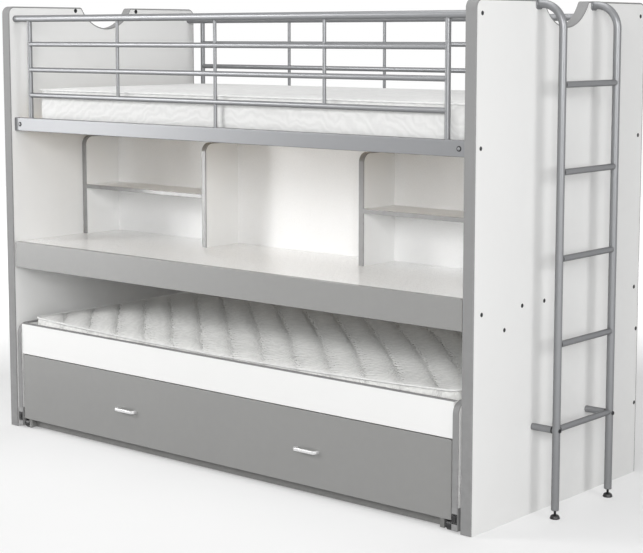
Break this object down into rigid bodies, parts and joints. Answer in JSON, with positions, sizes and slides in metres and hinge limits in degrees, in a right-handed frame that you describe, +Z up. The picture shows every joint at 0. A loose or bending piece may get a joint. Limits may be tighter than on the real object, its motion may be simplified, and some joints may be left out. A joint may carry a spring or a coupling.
{
  "type": "triple bunk bed",
  "caption": "Bunk bed with panel ends, guard rails and an outside ladder, a desk and hutch under the high bed, a bed that rolls out and a drawer bed inside it.",
  "frame": {"origin": "middle of the whole bed's box in plan, on the floor", "axes": "+X along the beds towards the ladder, +Y from the front to the wall, +Z up"},
  "size_m": [2.284, 0.997, 1.612],
  "materials": {
    "white_laminate": "fine-grained white laminate on board",
    "grey_laminate": "satin grey laminate on board",
    "grey_edging": "satin grey edging",
    "silver_steel": "silver-grey powder coat",
    "black_plastic": "black moulded plastic",
    "grey_plastic": "grey moulded plastic",
    "mattress_ticking": "white quilted ticking",
    "slat_wood": "bare birch"
  },
  "bodies": {
    "root": {"left_end_panel": "white_laminate", "right_end_panel": "white_laminate", "left_panel_edging": "grey_edging", "right_panel_edging": "grey_edging", "front_bed_rail": "silver_steel", "rear_bed_rail": "silver_steel", "front_guard": "silver_steel", "rear_guard": "silver_steel", "upper_slat_base": "slat_wood", "upper_mattress": "mattress_ticking", "desk_top": "white_laminate", "desk_apron": "grey_laminate", "desk_left_bearer": "white_laminate", "desk_right_bearer": "white_laminate", "hutch_back_panel": "white_laminate", "hutch_left_side": "white_laminate", "hutch_left_divider": "white_laminate", "hutch_right_divider": "white_laminate", "hutch_right_side": "white_laminate", "left_shelf": "white_laminate", "right_shelf": "white_laminate", "rear_stretcher": "white_laminate", "lower_back_board": "white_laminate", "ladder_front_stile": "silver_steel", "ladder_rear_stile": "silver_steel", "ladder_rung_1": "silver_steel", "ladder_rung_2": "silver_steel", "ladder_rung_3": "silver_steel", "ladder_rung_4": "silver_steel", "ladder_rung_5": "silver_steel"},
    "roll_bed": {"roll_bed_left_end": "white_laminate", "roll_bed_right_end": "white_laminate", "roll_bed_front_board": "white_laminate", "roll_bed_back_board": "white_laminate", "roll_bed_slat_base": "slat_wood", "roll_bed_mattress": "mattress_ticking", "left_front_castor_housing": "grey_plastic", "left_rear_castor_housing": "grey_plastic", "right_front_castor_housing": "grey_plastic", "right_rear_castor_housing": "grey_plastic"},
    "drawer": {"drawer_front": "grey_laminate", "drawer_left_side": "white_laminate", "drawer_right_side": "white_laminate", "drawer_back": "white_laminate", "drawer_base": "white_laminate", "drawer_mattress": "mattress_ticking", "left_drawer_handle": "silver_steel", "right_drawer_handle": "silver_steel"},
    "left_front_castor_wheel": {"left_front_castor_wheel": "black_plastic"},
    "left_rear_castor_wheel": {"left_rear_castor_wheel": "black_plastic"},
    "left_brake_lever": {"left_brake_lever": "black_plastic"},
    "right_front_castor_wheel": {"right_front_castor_wheel": "black_plastic"},
    "right_rear_castor_wheel": {"right_rear_castor_wheel": "black_plastic"},
    "right_brake_lever": {"right_brake_lever": "black_plastic"},
    "drawer_left_front_wheel": {"drawer_left_front_wheel": "black_plastic"},
    "drawer_left_rear_wheel": {"drawer_left_rear_wheel": "black_plastic"},
    "drawer_right_front_wheel": {"drawer_right_front_wheel": "black_plastic"},
    "drawer_right_rear_wheel": {"drawer_right_rear_wheel": "black_plastic"},
    "front_ladder_foot": {"front_ladder_foot": "black_plastic"},
    "rear_ladder_foot": {"rear_ladder_foot": "black_plastic"}
  },
  "joints": [
    {"name": "roll_bed_slide", "type": "slide", "parent": "root", "child": "roll_bed", "axis": [0, -1, 0], "range_m": [0, 0.9]},
    {"name": "drawer_slide", "type": "slide", "parent": "roll_bed", "child": "drawer", "axis": [0, -1, 0], "range_m": [0, 0.85]},
    {"name": "left_front_castor_wheel_spin", "type": "hinge", "parent": "roll_bed", "child": "left_front_castor_wheel", "pos_m": [-1.081, -0.4455, 0.02425], "axis": [1, 0, 0], "continuous": true},
    {"name": "left_rear_castor_wheel_spin", "type": "hinge", "parent": "roll_bed", "child": "left_rear_castor_wheel", "pos_m": [-1.081, 0.4375, 0.02425], "axis": [1, 0, 0], "continuous": true},
    {"name": "left_brake_lever_tilt", "type": "hinge", "parent": "roll_bed", "child": "left_brake_lever", "pos_m": [-1.081, -0.4805, 0.038], "axis": [-1, 0, 0], "range_deg": [0, 12]},
    {"name": "right_front_castor_wheel_spin", "type": "hinge", "parent": "roll_bed", "child": "right_front_castor_wheel", "pos_m": [0.977, -0.4455, 0.02425], "axis": [1, 0, 0], "continuous": true},
    {"name": "right_rear_castor_wheel_spin", "type": "hinge", "parent": "roll_bed", "child": "right_rear_castor_wheel", "pos_m": [0.977, 0.4375, 0.02425], "axis": [1, 0, 0], "continuous": true},
    {"name": "right_brake_lever_tilt", "type": "hinge", "parent": "roll_bed", "child": "right_brake_lever", "pos_m": [0.977, -0.4805, 0.038], "axis": [-1, 0, 0], "range_deg": [0, 12]},
    {"name": "drawer_left_front_wheel_spin", "type": "hinge", "parent": "drawer", "child": "drawer_left_front_wheel", "pos_m": [-1.054, -0.4565, 0.01825], "axis": [1, 0, 0], "continuous": true},
    {"name": "drawer_left_rear_wheel_spin", "type": "hinge", "parent": "drawer", "child": "drawer_left_rear_wheel", "pos_m": [-1.054, 0.3985, 0.01825], "axis": [1, 0, 0], "continuous": true},
    {"name": "drawer_right_front_wheel_spin", "type": "hinge", "parent": "drawer", "child": "drawer_right_front_wheel", "pos_m": [0.95, -0.4565, 0.01825], "axis": [1, 0, 0], "continuous": true},
    {"name": "drawer_right_rear_wheel_spin", "type": "hinge", "parent": "drawer", "child": "drawer_right_rear_wheel", "pos_m": [0.95, 0.3985, 0.01825], "axis": [1, 0, 0], "continuous": true},
    {"name": "front_ladder_foot_level", "type": "slide", "parent": "root", "child": "front_ladder_foot", "axis": [0, 0, 1], "range_m": [-0.008, 0.012]},
    {"name": "rear_ladder_foot_level", "type": "slide", "parent": "root", "child": "rear_ladder_foot", "axis": [0, 0, 1], "range_m": [-0.008, 0.012]}
  ],
  "couplings": [
    {"joint": "left_front_castor_wheel_spin", "follows": "roll_bed_slide", "rad_per_m": 41.667},
    {"joint": "left_rear_castor_wheel_spin", "follows": "roll_bed_slide", "rad_per_m": 41.667},
    {"joint": "right_front_castor_wheel_spin", "follows": "roll_bed_slide", "rad_per_m": 41.667},
    {"joint": "right_rear_castor_wheel_spin", "follows": "roll_bed_slide", "rad_per_m": 41.667},
    {"joint": "drawer_left_front_wheel_spin", "follows": "drawer_slide", "rad_per_m": 55.556},
    {"joint": "drawer_left_rear_wheel_spin", "follows": "drawer_slide", "rad_per_m": 55.556},
    {"joint": "drawer_right_front_wheel_spin", "follows": "drawer_slide", "rad_per_m": 55.556},
    {"joint": "drawer_right_rear_wheel_spin", "follows": "drawer_slide", "rad_per_m": 55.556}
  ]
}
